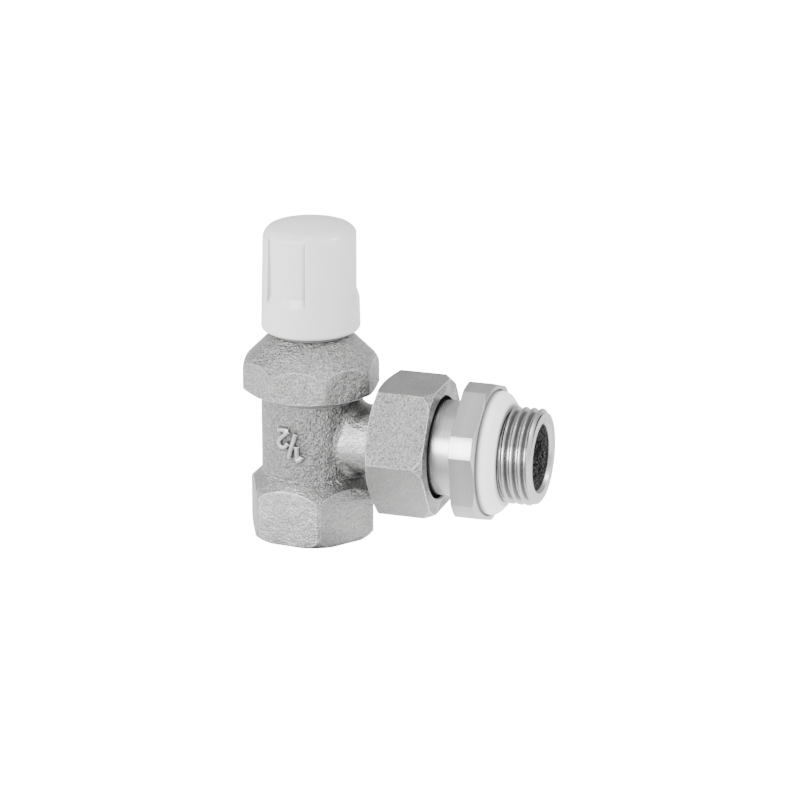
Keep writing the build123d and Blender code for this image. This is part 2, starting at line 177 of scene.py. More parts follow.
class Nodes:
    """Short calls for building one node tree."""

    def __init__(self, tree):
        self.tree = tree

    def add(self, kind, values=None, **settings):
        """A new node with its own settings, and its inputs set or linked by name or number."""
        node = self.tree.nodes.new(kind)
        for name, value in settings.items():
            setattr(node, name, value)
        for name, value in (values or {}).items():
            self.feed(node.inputs[name], value)
        return node

    def feed(self, socket, value):
        """Links an output to the socket, or sets it to a plain value."""
        if isinstance(value, bpy.types.NodeSocket):
            self.tree.links.new(value, socket)
        else:
            socket.default_value = value

    def maths(self, operation, a, b=0.0):
        return self.add("ShaderNodeMath", {0: a, 1: b}, operation=operation).outputs[0]

    def vector(self, operation, output, values):
        return self.add("ShaderNodeVectorMath", values, operation=operation).outputs[output]

    def span(self, value, low, high, to_low=0.0, to_high=1.0):
        """Takes a range to another one and stays inside it."""
        node = self.add("ShaderNodeMapRange", {"Value": value, "From Min": low, "From Max": high,
                                               "To Min": to_low, "To Max": to_high})
        return node.outputs[0]

    def mix(self, factor, a, b):
        node = self.add("ShaderNodeMix", data_type="RGBA")
        self.feed(node.inputs["Factor"], factor)
        self.feed(node.inputs[6], a)
        self.feed(node.inputs[7], b)
        return node.outputs[2]

    def cover(self, base, mask, weight, tint):
        """Lays a tint over a base where the mask is white, as strongly as the weight says."""
        return self.mix(self.maths("MULTIPLY", mask, weight), base, tint)

    def bump(self, height, depth, normal):
        node = self.add("ShaderNodeBump", {"Height": height, "Strength": 1.0, "Distance": depth,
                                           "Normal": normal})
        return node.outputs[0]


def effect(name, inputs, outputs):
    """A new shader node group, with its Nodes and its input and output nodes."""
    group = bpy.data.node_groups.new(name, "ShaderNodeTree")
    for label, kind, default in inputs:
        socket = group.interface.new_socket(name=label, in_out="INPUT", socket_type=kind)
        socket.default_value = default
    for label, kind in outputs:
        group.interface.new_socket(name=label, in_out="OUTPUT", socket_type=kind)
    nodes = Nodes(group)
    return nodes, nodes.add("NodeGroupInput").outputs, nodes.add("NodeGroupOutput").inputs


def build_blasting():
    """Grain of a blasted casting: fine pits over a softer unevenness, with masks of flecks and of clouds."""
    nodes, given, result = effect(
        "Blasted grain",
        [("Grain", "NodeSocketFloat", 0.0004)],
        [("Height", "NodeSocketFloat"), ("Flecks", "NodeSocketFloat"), ("Cloud", "NodeSocketFloat")])

    def noise(scale, detail, **more):
        values = {"Vector": place, "Scale": scale, "Detail": detail, **more}
        return nodes.add("ShaderNodeTexNoise", values).outputs[0]

    position = nodes.add("ShaderNodeTexCoord").outputs["Object"]
    per_grain = nodes.maths("DIVIDE", 1.0, given["Grain"])
    place = nodes.vector("SCALE", 0, {0: position, "Scale": per_grain})
    fine = noise(1.0, 3.0, Roughness=0.6)
    pits = nodes.add("ShaderNodeTexVoronoi", {"Vector": place, "Scale": 0.8, "Randomness": 1.0},
                     feature="SMOOTH_F1").outputs["Distance"]
    soft = noise(0.16, 2.0)
    cloud = noise(0.05, 2.0)
    grain = nodes.maths("ADD", nodes.maths("MULTIPLY", fine, 0.6), nodes.maths("MULTIPLY", pits, 0.5))
    nodes.feed(result["Height"], nodes.maths("ADD", grain, nodes.maths("MULTIPLY", soft, 1.2)))
    nodes.feed(result["Flecks"], nodes.span(fine, 0.36, 0.64))
    nodes.feed(result["Cloud"], nodes.span(cloud, 0.35, 0.65))
    return nodes.tree


def build_turning():
    """Rings left by turning: a pattern that changes along the piece's axis, and outwards on its end faces."""
    nodes, given, result = effect(
        "Turning marks",
        [("Along", "NodeSocketVector", (1.0, 0.0, 0.0)), ("Centre", "NodeSocketVector", (0, 0, 0)),
         ("Spacing", "NodeSocketFloat", 0.0003)],
        [("Height", "NodeSocketFloat"), ("Sheen", "NodeSocketFloat")])
    place = nodes.add("ShaderNodeTexCoord").outputs["Object"]
    offset = nodes.vector("SUBTRACT", "Vector", {0: place, 1: given["Centre"]})
    along = nodes.vector("DOT_PRODUCT", "Value", {0: offset, 1: given["Along"]})
    across = nodes.vector("CROSS_PRODUCT", "Vector", {0: offset, 1: given["Along"]})
    radius = nodes.vector("LENGTH", "Value", {0: across})
    normal = nodes.add("ShaderNodeNewGeometry").outputs["Normal"]
    endwise = nodes.maths("ABSOLUTE", nodes.vector("DOT_PRODUCT", "Value", {0: normal, 1: given["Along"]}))
    travel = nodes.maths("ADD", along, nodes.maths("MULTIPLY", radius, endwise))
    position = nodes.maths("DIVIDE", travel, given["Spacing"])
    rings = nodes.add("ShaderNodeTexNoise", {"W": position, "Scale": 1.0, "Detail": 3.0, "Roughness": 0.7},
                      noise_dimensions="1D")
    bands = nodes.add("ShaderNodeTexNoise", {"W": position, "Scale": 0.12, "Detail": 2.0},
                      noise_dimensions="1D")
    nodes.feed(result["Height"], rings.outputs[0])
    nodes.feed(result["Sheen"], nodes.span(bands.outputs[0], 0.35, 0.65))
    return nodes.tree


def build_edges():
    """Rounded edges: the softened normal, and masks that are 1 on an edge, in a crevice and in a recess, for
    a painted highlight on edges and painted shade in crevices and recesses.
    """
    nodes, given, result = effect(
        "Rounded edges",
        [("Rounding", "NodeSocketFloat", 0.0003), ("Reach", "NodeSocketFloat", 0.001)],
        [("Normal", "NodeSocketVector"), ("Edge", "NodeSocketFloat"), ("Crevice shade", "NodeSocketFloat"),
         ("Recess shade", "NodeSocketFloat")])
    recess_shade_reach = 12 * MM

    def openness(reach):
        return nodes.add("ShaderNodeAmbientOcclusion", {"Distance": reach}, samples=8).outputs["AO"]

    rounded = nodes.add("ShaderNodeBevel", {"Radius": given["Rounding"]}, samples=8).outputs[0]
    flat = nodes.add("ShaderNodeNewGeometry").outputs["Normal"]
    same = nodes.vector("DOT_PRODUCT", "Value", {0: rounded, 1: flat})
    nodes.feed(result["Normal"], rounded)
    # the edge mask marks where a highlight is painted; the crevice and recess masks, from ambient occlusion,
    # mark where shade is painted
    nodes.feed(result["Edge"], nodes.span(same, 0.998, 0.93))
    nodes.feed(result["Crevice shade"], nodes.span(openness(given["Reach"]), 0.95, 0.45))
    nodes.feed(result["Recess shade"], nodes.span(openness(recess_shade_reach), 0.90, 0.40))
    return nodes.tree


def build_surround():
    """Brightness of the studio by direction: brighter to both sides, dimmer to the right of the camera."""
    nodes, given, result = effect(
        "Surround",
        [("Direction", "NodeSocketVector", (0.0, -1.0, 0.0))],
        [("Strength", "NodeSocketFloat")])
    flat = nodes.vector("MULTIPLY", 0, {0: given["Direction"], 1: (1.0, 1.0, 0.0)})
    level = nodes.vector("NORMALIZE", 0, {0: flat})

    def lobe(azimuth, edge, strength):
        towards = (sin(radians(azimuth)), -cos(radians(azimuth)), 0.0)
        facing = nodes.vector("DOT_PRODUCT", "Value", {0: level, 1: towards})
        return nodes.maths("MULTIPLY", nodes.span(facing, edge, 1.0), strength)

    total = nodes.maths("ADD", 1.05, lobe(-55, edge=0.3, strength=0.9))
    total = nodes.maths("ADD", total, lobe(86, edge=0.6, strength=1.7))
    total = nodes.maths("SUBTRACT", total, lobe(41, edge=0.82, strength=0.9))
    nodes.feed(result["Strength"], total)
    return nodes.tree


EFFECTS = {"Blasted grain": build_blasting, "Turning marks": build_turning, "Rounded edges": build_edges,
           "Surround": build_surround}


def place_effect(nodes, name, values):
    """The named effect's outputs in a tree. The effect is built the first time that it is asked for."""
    group = bpy.data.node_groups.get(name) or EFFECTS[name]()
    return nodes.add("ShaderNodeGroup", values, node_tree=group).outputs


# Finishes

def new_material(name, **sockets):
    """A material with its Nodes and its Principled BSDF, whose plain sockets are set by name."""
    material = bpy.data.materials.new(name)
    material.use_nodes = True
    nodes = Nodes(material.node_tree)
    shader = material.node_tree.nodes["Principled BSDF"]
    for label, value in sockets.items():
        shader.inputs[label.replace("_", " ")].default_value = value
    return material, nodes, shader


def rgba(value, factor=1.0):
    return (value[0] * factor, value[1] * factor, value[2] * factor, 1.0)


def blasted_metal(name, finish, depth=1.0, light=1.0, rough=0.0):
    """Blasted and plated casting: cloudy and flecked, with painted shade in its recesses and crevices and a
    painted highlight on its edges; light scales its colour as painted light and shade for one region.
    """
    material, nodes, shader = new_material(name, Metallic=1.0)
    grain = place_effect(nodes, "Blasted grain", {"Grain": finish.grain})
    edges = place_effect(nodes, "Rounded edges", {"Rounding": finish.edge_round, "Reach": 0.9 * MM})

    def shade(factor):
        return rgba(finish.metal, factor * light)

    base = nodes.mix(grain["Cloud"], shade(0.88), shade(1.06))
    flecks = nodes.mix(grain["Flecks"], shade(0.25), shade(1.75))
    base = nodes.mix(0.6 * min(1.0, depth), base, flecks)
    # painted shade in the recesses, a painted highlight on the edges and painted shade in the crevices
    base = nodes.cover(base, edges["Recess shade"], 0.28, shade(0.4))
    base = nodes.cover(base, edges["Edge"], 0.85, shade(2.7))
    base = nodes.cover(base, edges["Crevice shade"], 0.75, rgba(finish.metal, 0.15))
    middle, swing = finish.roughness + rough, 0.04
    roughness = nodes.span(grain["Cloud"], 0.0, 1.0, middle + swing, middle - swing)
    nodes.feed(shader.inputs["Base Color"], base)
    nodes.feed(shader.inputs["Roughness"], roughness)
    nodes.feed(shader.inputs["Normal"],
               nodes.bump(grain["Height"], finish.grain_depth * depth, edges["Normal"]))
    return material


def turned_metal(name, tint, roughness, depth, axis, edge_round, crevice=0.7):
    """Turned metal with rings along an axis, a painted highlight on its edges and painted shade in its
    crevices.
    """
    material, nodes, shader = new_material(name, Metallic=1.0)
    centre, along = axis
    marks = place_effect(nodes, "Turning marks", {"Along": along, "Centre": centre, "Spacing": 0.3 * MM})
    edges = place_effect(nodes, "Rounded edges", {"Rounding": edge_round, "Reach": 1.2 * MM})
    base = nodes.mix(marks["Sheen"], rgba(tint, 0.94), rgba(tint, 1.04))
    # a painted highlight on the edges and painted shade in the crevices, as dark as crevice says
    base = nodes.cover(base, edges["Edge"], 0.6, rgba(tint, 1.3))
    base = nodes.cover(base, edges["Crevice shade"], crevice, rgba(tint, 0.15))
    nodes.feed(shader.inputs["Base Color"], base)
    nodes.feed(shader.inputs["Roughness"],
               nodes.span(marks["Height"], 0.3, 0.7, roughness - 0.04, roughness + 0.05))
    nodes.feed(shader.inputs["Normal"], nodes.bump(marks["Height"], depth, edges["Normal"]))
    return material


def machined_plating(name, finish, axis):
    """The casting's plating where it lies over a machined surface."""
    return turned_metal(name, finish.metal, 0.28, 0.006 * MM, axis, 0.1 * MM)


def moulded_plastic(name, tint, roughness, grain=0.6 * MM, depth=0.004 * MM, edge_round=0.4 * MM, soft=0.1):
    """Moulded plastic with a faint unevenness, a painted highlight on its edges and painted shade in its
    crevices.
    """
    material, nodes, shader = new_material(name, Subsurface_Weight=soft, Subsurface_Scale=2 * MM,
                                           Subsurface_Radius=(1.0, 1.0, 1.0))
    skin = place_effect(nodes, "Blasted grain", {"Grain": grain})
    edges = place_effect(nodes, "Rounded edges", {"Rounding": edge_round, "Reach": 1.2 * MM})
    # the edges are painted lighter as a highlight, and the crevices darker as painted shade
    brightening, brightest = 1.4, 0.69
    painted_edge_highlight = rgba([min(part, brightest) for part in tint], brightening)
    base = nodes.mix(skin["Cloud"], rgba(tint, 0.985), rgba(tint, 1.01))
    base = nodes.mix(edges["Edge"], base, painted_edge_highlight)
    base = nodes.cover(base, nodes.maths("POWER", edges["Crevice shade"], 0.6), 0.85, rgba(tint, 0.2))
    nodes.feed(shader.inputs["Base Color"], base)
    nodes.feed(shader.inputs["Roughness"],
               nodes.span(skin["Cloud"], 0.0, 1.0, roughness - 0.03, roughness + 0.03))
    nodes.feed(shader.inputs["Normal"], nodes.bump(skin["Height"], depth, edges["Normal"]))
    return material


# Mesh helpers

def radius_along(point, axis):
    """Distance from an axis, and position along it."""
    origin, direction = axis
    offset = point - origin
    along = offset.dot(direction)
    return (offset - along * direction).length, along


def from_spindle(point):
    """Distance from the spindle's axis."""
    return radius_along(point, BODY_AXIS)[0]


def from_outlet(point):
    """Distance from the outlet's axis."""
    return radius_along(point, OUTLET_AXIS)[0]


def copy_of(node, name):
    """A new object, and a copy of a CAD node's mesh as a bmesh, with the vertices at its edges joined."""
    mesh = bmesh.new()
    mesh.from_mesh(frame["nodes"][node].data)
    bmesh.ops.remove_doubles(mesh, verts=mesh.verts, dist=SAME_PLACE)
    piece = bpy.data.objects.new(name, bpy.data.meshes.new(name))
    bpy.context.scene.collection.objects.link(piece)
    return piece, mesh


def turned_normals(data, face, axis):
    """Normals of a face's corners if the face is part of a surface turned about the axis, or nothing."""
    origin, along = axis
    nearest, skew, reach = 0.5 * MM, 0.03, radians(7)
    spokes = []
    for index in face.vertices:
        offset = data.vertices[index].co - origin
        spoke = offset - offset.dot(along) * along
        if spoke.length < nearest:
            return None
        spokes.append(spoke.normalized())
    middle = sum(spokes, Vector()).normalized()
    aside = face.normal.dot(along.cross(middle))
    if abs(aside) > skew or min(spoke.dot(middle) for spoke in spokes) < cos(reach):
        return None
    lift, out = face.normal.dot(along), face.normal.dot(middle)
    return [(out * spoke + lift * along).normalized() for spoke in spokes]


def true_normals(data, axes):
    """Gives turned surfaces their exact normals and large flats their own, so that no facet shows."""
    same_plane, large_flat = 0.02 * MM, 12 * MM * MM

    def plane(face):
        return tuple(round(part, 3) for part in face.normal), round(face.normal.dot(face.center) / same_plane)

    area = {}
    for face in data.polygons:
        area[plane(face)] = area.get(plane(face), 0.0) + face.area
    normals = [(0.0, 0.0, 0.0)] * len(data.loops)
    for face in data.polygons:
        found = next(filter(None, (turned_normals(data, face, axis) for axis in axes)), None)
        if found is None and area[plane(face)] > large_flat:
            found = [face.normal] * face.loop_total
        if found:
            normals[face.loop_start:face.loop_start + face.loop_total] = [tuple(normal) for normal in found]
    data.normals_split_custom_set(normals)


def settle(piece, mesh, node, materials, axes, sharp=30.0):
    """Writes the bmesh, shades it and lets the piece stand for its CAD node."""
    mesh.to_mesh(piece.data)
    mesh.free()
    for material in materials:
        piece.data.materials.append(material)
    piece.data.shade_smooth()
    piece.data.set_sharp_from_angle(angle=radians(sharp))
    true_normals(piece.data, axes)
    body = frame["nodes"][node]["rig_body"]
    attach(piece, body)
    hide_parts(node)


def dress(node, material):
    """Gives a CAD node that stays as it is its finish."""
    piece = frame["nodes"][node]
    if not piece.material_slots:
        piece.data.materials.append(material)
    for place in piece.material_slots:
        place.material = material


def paint(mesh, material, test):
    """Gives a finish to the faces whose middle and normal pass the test."""
    for face in mesh.faces:
        if test(face.calc_center_median(), face.normal):
            face.material_index = material


def cut_across(mesh, place, axis):
    """Splits the faces where a plane crosses the axis."""
    origin, along = axis
    bmesh.ops.bisect_plane(mesh, geom=mesh.verts[:] + mesh.edges[:] + mesh.faces[:],
                           plane_co=origin + place * along, plane_no=along)


def remove_barrel(mesh, axis, start, end, inner, outer):
    """Removes the faces that lie wholly between two radii and two positions along an axis."""
    slack = 0.002 * MM
    gone = []
    for face in mesh.faces:
        places = [radius_along(corner.co, axis) for corner in face.verts]
        if all(inner - slack <= radius <= outer + slack and start - slack <= place <= end + slack
               for radius, place in places):
            gone.append(face)
    if not gone:
        raise RuntimeError("no faces found where the thread belongs")
    bmesh.ops.delete(mesh, geom=gone, context="FACES")


def ridge(phase):
    """Height of a rounded thread form over one pitch, from 0 at the root to 1 at the crest."""
    root_width, flank_width, rounding = 0.16, 0.68, 0.35
    slope = min(1.0, max(0.0, (abs(2 * phase - 1) - root_width) / flank_width))
    rounded = slope * slope * (3 - 2 * slope)
    return rounding * rounded + (1 - rounding) * slope


def add_thread(mesh, barrel, root, crest, pitch, limit, phase=0.0, material=0):
    """Adds a helical thread along a barrel. The limit keeps its radius inside the blank."""
    origin, along = barrel.axis
    side = along.orthogonal().normalized() if abs(along.z) > 0.5 else Vector((0, 1, 0))
    up = along.cross(side)
    turns = int((barrel.end - barrel.start) / pitch) + 3
    grid = []
    for i in range(COLUMNS):
        turn = i / COLUMNS
        spoke = cos(tau * turn) * side + sin(tau * turn) * up
        line = []
        for j in range(turns * ROWS + 1):
            raw = barrel.start + (turn - 2 + phase + j / ROWS) * pitch
            place = min(barrel.end, max(barrel.start, raw))
            step = (place / pitch - turn - phase) - barrel.start / pitch
            radius = limit(place, root + (crest - root) * ridge(step % 1.0))
            line.append(mesh.verts.new(origin + place * along + radius * spoke))
        grid.append(line)
    outward = crest > root
    for i in range(COLUMNS):
        shift = 0 if i + 1 < COLUMNS else ROWS
        nearby = grid[(i + 1) % COLUMNS]
        for j in range(turns * ROWS - shift):
            corners = [grid[i][j], nearby[j + shift], nearby[j + 1 + shift], grid[i][j + 1]]
            if not outward:
                corners.reverse()
            face = mesh.faces.new(corners)
            face.material_index = material
    bmesh.ops.remove_doubles(mesh, verts=[corner for line in grid for corner in line], dist=SAME_PLACE)


def add_turned(mesh, axis, points):
    """Adds a surface turned about an axis from a line of (position, radius) points."""
    origin, along = axis
    side = Vector((0, 1, 0))
    up = along.cross(side)
    spokes = [cos(tau * i / COLUMNS) * side + sin(tau * i / COLUMNS) * up for i in range(COLUMNS)]
    rings = [[mesh.verts.new(origin + place * along + radius * spoke) for spoke in spokes]
             for place, radius in points]
    for inner, outer in zip(rings, rings[1:]):
        for i in range(COLUMNS):
            j = (i + 1) % COLUMNS
            mesh.faces.new([inner[i], outer[i], outer[j], inner[j]])


def between(points):
    """A function that gives the radius on a line of (position, radius) points."""
    def radius(place):
        for (a, ra), (b, rb) in zip(points, points[1:]):
            if place <= b:
                return ra + (rb - ra) * (place - a) / (b - a)
        return points[-1][1]
    return radius


# Threads

def cut_outlet_thread(mesh, threads):
    """The union's male thread on the outlet, chamfered at both ends."""
    barrel, chamfer = OUTLET_BARREL, 0.8 * MM
    low = barrel.radius - chamfer
    blank = between([(barrel.start, low), (barrel.start + chamfer, barrel.radius),
                     (barrel.end - chamfer, barrel.radius), (barrel.end, low)])
    remove_barrel(mesh, barrel.axis, barrel.start, barrel.end, low, barrel.radius)
    add_thread(mesh, barrel, barrel.radius - threads.metric_depth, barrel.radius, threads.metric_pitch,
               lambda place, radius: max(min(radius, blank(place)), OUTLET_CORE), material=MACHINED)


def cut_foot_thread(mesh, threads):
    """The pipe thread in the foot. It starts in the lead chamfer and runs out at the bore's end."""
    bore, lead, deepest = FOOT_BORE, 0.45 * MM, 11 * MM
    opened, closing = 0.8 * MM, 9.8 * MM
    mouth = bore.radius + lead
    cone = between([(bore.start, mouth), (lead, bore.radius), (bore.end, bore.radius)])
    runout = between([(bore.start, mouth), (opened, deepest), (closing, deepest), (bore.end, bore.radius)])
    remove_barrel(mesh, bore.axis, bore.start, bore.end, bore.radius, mouth)
    add_thread(mesh, bore, bore.radius + threads.pipe_depth, bore.radius, threads.pipe_pitch,
               lambda place, radius: min(max(radius, cone(place)), runout(place)), material=MACHINED)


def cut_tail_thread(mesh, threads):
    """The tail's pipe thread, which starts beside the sealing ring and ends in a chamfer."""
    barrel, lead, root = TAIL_BARREL, 0.4 * MM, 9.25 * MM
    blank = between([(barrel.start, root), (barrel.start + lead, barrel.radius),
                     (barrel.end - TAIL_CHAMFER, barrel.radius),
                     (barrel.end, barrel.radius - TAIL_CHAMFER)])
    remove_barrel(mesh, barrel.axis, barrel.start, barrel.end, root, barrel.radius)
    add_thread(mesh, barrel, barrel.radius - threads.pipe_depth, barrel.radius, threads.pipe_pitch,
               lambda place, radius: max(min(radius, blank(place)), root), phase=0.3, material=THREAD)


def cut_bonnet_thread(mesh, threads):
    """The cap's thread on the bonnet. The slotted end above it is turned down to the thread's root."""
    barrel, chamfer = BONNET_BARREL, 0.95 * MM
    root = barrel.radius - threads.metric_depth
    collar = root - THREAD_ROOM
    cut_across(mesh, barrel.end, barrel.axis)
    remove_barrel(mesh, barrel.axis, barrel.start, barrel.end, barrel.radius, barrel.radius)
    for corner in mesh.verts:
        radius = from_spindle(corner.co)
        if corner.co.z > barrel.end - SAME_PLACE and radius > collar:
            corner.co.xy *= collar / radius
    blank = between([(barrel.start, barrel.radius), (barrel.end - chamfer, barrel.radius),
                     (barrel.end, collar)])
    add_thread(mesh, barrel, root, barrel.radius, threads.metric_pitch,
               lambda place, radius: min(radius, blank(place)) if place > barrel.start else barrel.radius)


def cut_female_thread(mesh, threads, bore, full_to, runs_out, mate, material=0):
    """A female thread in a bore, full up to one place and run out at the next, in step with its mate."""
    lead = 0.9 * MM
    minor = bore.radius - threads.metric_depth + THREAD_ROOM
    blank = between([(bore.start, bore.radius), (bore.start + lead, minor), (full_to, minor),
                     (runs_out, bore.radius), (bore.end, bore.radius)])
    remove_barrel(mesh, bore.axis, bore.start, bore.end, bore.radius, bore.radius)
    add_thread(mesh, bore, bore.radius, minor, threads.metric_pitch,
               lambda place, radius: max(radius, blank(place)),
               phase=0.5 - (bore.start - mate.start) / threads.metric_pitch, material=material)


# Pieces

class VALVE_OT_body(bpy.types.Operator):
    """Casting with its blasted plating, its union thread and the pipe thread in its foot"""
    bl_idname = "valve.body"
    bl_label = "Valve body"

    def execute(self, context):
        finish, threads = context.scene.valve_casting, context.scene.valve_threads
        piece, mesh = copy_of("valve_body", "casting")
        cut_outlet_thread(mesh, threads)
        cut_foot_thread(mesh, threads)
        self.paint(mesh)
        # the light factors paint the smooth outlet and the foot lighter and the neck darker than the rest:
        # painted light and shade
        materials = [
            blasted_metal("Blasted plating", finish),
            machined_plating("Machined plating", finish, BODY_AXIS),
            blasted_metal("Smooth plating", finish, depth=0.45, light=1.35, rough=-0.06),
            blasted_metal("Neck plating", finish, depth=1.15, light=0.84),
            blasted_metal("Foot plating", finish, depth=0.6, light=1.04),
        ]
        settle(piece, mesh, "valve_body", materials, [BODY_AXIS, OUTLET_AXIS])
        return {"FINISHED"}

    def paint(self, mesh):
        """Smooth outlet, coarse neck, finer foot, and machined foot's end, seat and waterways."""
        neck_inner, neck_outer, neck_low, neck_high = 10.6 * MM, 11.0 * MM, 15.0 * MM, 33.0 * MM
        outlet_foot, foot_top, foot_inner = 9.5 * MM, 14.2 * MM, 11.5 * MM
        seat_bore, waterway, waterway_start, foot_end = 7.7 * MM, 6.1 * MM, 8 * MM, 0.02 * MM
        paint(mesh, SMOOTH, lambda spot, normal: outlet_foot < spot.x < OUTLET_BARREL.start
              and from_outlet(spot) < OUTLET_CORE and from_spindle(spot) > neck_outer)
        paint(mesh, NECK, lambda spot, normal: neck_inner < from_spindle(spot) < neck_outer
              and neck_low < spot.z < neck_high)
        paint(mesh, FOOT, lambda spot, normal: spot.z < foot_top and from_spindle(spot) > foot_inner)
        paint(mesh, MACHINED, lambda spot, normal: spot.z < foot_end or from_spindle(spot) < seat_bore
              or from_outlet(spot) < waterway and spot.x > waterway_start)


class VALVE_OT_size_mark(bpy.types.Operator):
    """Raised half-inch mark on the neck, upside down as it is cast"""
    bl_idname = "valve.size_mark"
    bl_label = "Size mark"

    def execute(self, context):
        sizes = context.scene.valve_mark
        # each point is an angle round the neck in degrees and a height in millimetres
        strokes = [
            [(-109.7, 25.5), (-103.1, 25.9), (-96.5, 25.7)],
            [(-96.5, 25.6), (-101.1, 24.7), (-108.4, 23.6), (-109.9, 22.7), (-106.8, 21.8), (-101.3, 21.7),
             (-97.2, 22.9)],
            [(-88.4, 25.2), (-92.3, 22.6), (-96.5, 19.7)],
            [(-87.2, 22.3), (-86.9, 20.6), (-86.6, 19.2)],
            [(-86.6, 19.2), (-83.2, 19.0), (-81.0, 20.1)],
        ]
        curve = bpy.data.curves.new("size_mark", "CURVE")
        curve.dimensions = "3D"
        curve.bevel_depth = sizes.stroke
        curve.bevel_resolution = 4
        curve.use_fill_caps = True
        radius = NECK_RADIUS - sizes.stroke + sizes.raised
        for points in strokes:
            line = curve.splines.new("NURBS")
            line.points.add(len(points) - 1)
            for point, (turn, height) in zip(line.points, points):
                point.co = (radius * cos(radians(turn)), radius * sin(radians(turn)), height * MM, 1.0)
            line.order_u = min(3, len(points))
            line.use_endpoint_u = True
            line.resolution_u = 10
        mark = bpy.data.objects.new("size_mark", curve)
        bpy.context.scene.collection.objects.link(mark)
        # light=1.3 paints the raised mark lighter than the neck: a painted highlight
        curve.materials.append(
            blasted_metal("Raised mark plating", context.scene.valve_casting, depth=0.25, light=1.3))
        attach(mark, "body")
        return {"FINISHED"}


class VALVE_OT_cap(bpy.types.Operator):
    """White moulded cap with its female thread"""
    bl_idname = "valve.cap"
    bl_label = "Cap"

    def execute(self, context):
        finish = context.scene.valve_plastic
        piece, mesh = copy_of("cap", "screw_cap")
        cut_female_thread(mesh, context.scene.valve_threads, CAP_BORE, full_to=56.3 * MM, runs_out=57.2 * MM,
                          mate=BONNET_BARREL)
        plastic = moulded_plastic("White cap plastic", finish.cap, finish.cap_roughness)
        settle(piece, mesh, "cap", [plastic], [BODY_AXIS], sharp=35)
        return {"FINISHED"}


class VALVE_OT_union_nut(bpy.types.Operator):
    """Union nut with its female thread"""
    bl_idname = "valve.union_nut"
    bl_label = "Union nut"

    def execute(self, context):
        finish = context.scene.valve_casting
        piece, mesh = copy_of("union_nut", "nut")
        cut_female_thread(mesh, context.scene.valve_threads, NUT_BORE, full_to=24.3 * MM, runs_out=25.1 * MM,
                          mate=OUTLET_BARREL, material=MACHINED)
        # four of the six flats are smooth: the top and the bottom one, and one opposite pair
        endwise, upright, slanted = 0.5, 0.9, 0.1
        paint(mesh, SATIN, lambda spot, normal: abs(normal.x) < endwise
              and (abs(normal.z) > upright or normal.y * normal.z > slanted))
        paint(mesh, MACHINED, lambda spot, normal: from_outlet(spot) < NUT_BORE.radius + 0.05 * MM)
        # light=1.15 paints the blasted flats lighter: painted light
        materials = [
            blasted_metal("Blasted nut plating", finish, depth=1.3, light=1.15),
            machined_plating("Machined nut plating", finish, OUTLET_AXIS),
            blasted_metal("Satin nut plating", finish, depth=0.3),
        ]
        settle(piece, mesh, "union_nut", materials, [OUTLET_AXIS])
        return {"FINISHED"}


class VALVE_OT_tail(bpy.types.Operator):
    """Chromed tail with its pipe thread and its countersunk mouth"""
    bl_idname = "valve.tail"
    bl_label = "Tail"

    def execute(self, context):
        finish = context.scene.valve_turned
        piece, mesh = copy_of("tail_piece", "tail")
        waterway, mouth, countersink = 7.16 * MM, 7.75 * MM, 51.6 * MM
        end, rim = TAIL_BARREL.end, TAIL_BARREL.radius - TAIL_CHAMFER
        cut_across(mesh, countersink, OUTLET_AXIS)
        remove_barrel(mesh, OUTLET_AXIS, countersink, end, waterway, rim)
        cut_tail_thread(mesh, context.scene.valve_threads)
        paint(mesh, BORE, lambda spot, normal: from_outlet(spot) < waterway + 0.14 * MM)
        add_turned(mesh, OUTLET_AXIS, [(countersink, waterway), (end, mouth), (end, rim)])
        # light=0.33 paints the bore dark as painted shade, and crevice=0.3 sets the painted shade in the
        # thread's roots
        materials = [
            turned_metal("Turned chrome", finish.metal, finish.roughness, finish.mark_depth, OUTLET_AXIS,
                         finish.edge_round),
            turned_metal("Thread chrome", finish.metal, finish.roughness - 0.02, finish.mark_depth / 2,
                         OUTLET_AXIS, finish.edge_round, crevice=0.3),
            blasted_metal("Dull bore with painted shade", context.scene.valve_casting, light=0.33, rough=0.2),
        ]
        settle(piece, mesh, "tail_piece", materials, [OUTLET_AXIS])
        return {"FINISHED"}


class VALVE_OT_seal(bpy.types.Operator):
    """Sealing ring on the tail"""
    bl_idname = "valve.seal"
    bl_label = "Sealing ring"

    def execute(self, context):
        finish = context.scene.valve_plastic
        piece, mesh = copy_of("tail_seal", "sealing_ring")
        plastic = moulded_plastic("Sealing ring plastic", finish.seal, finish.seal_roughness)
        settle(piece, mesh, "tail_seal", [plastic], [OUTLET_AXIS])
        return {"FINISHED"}


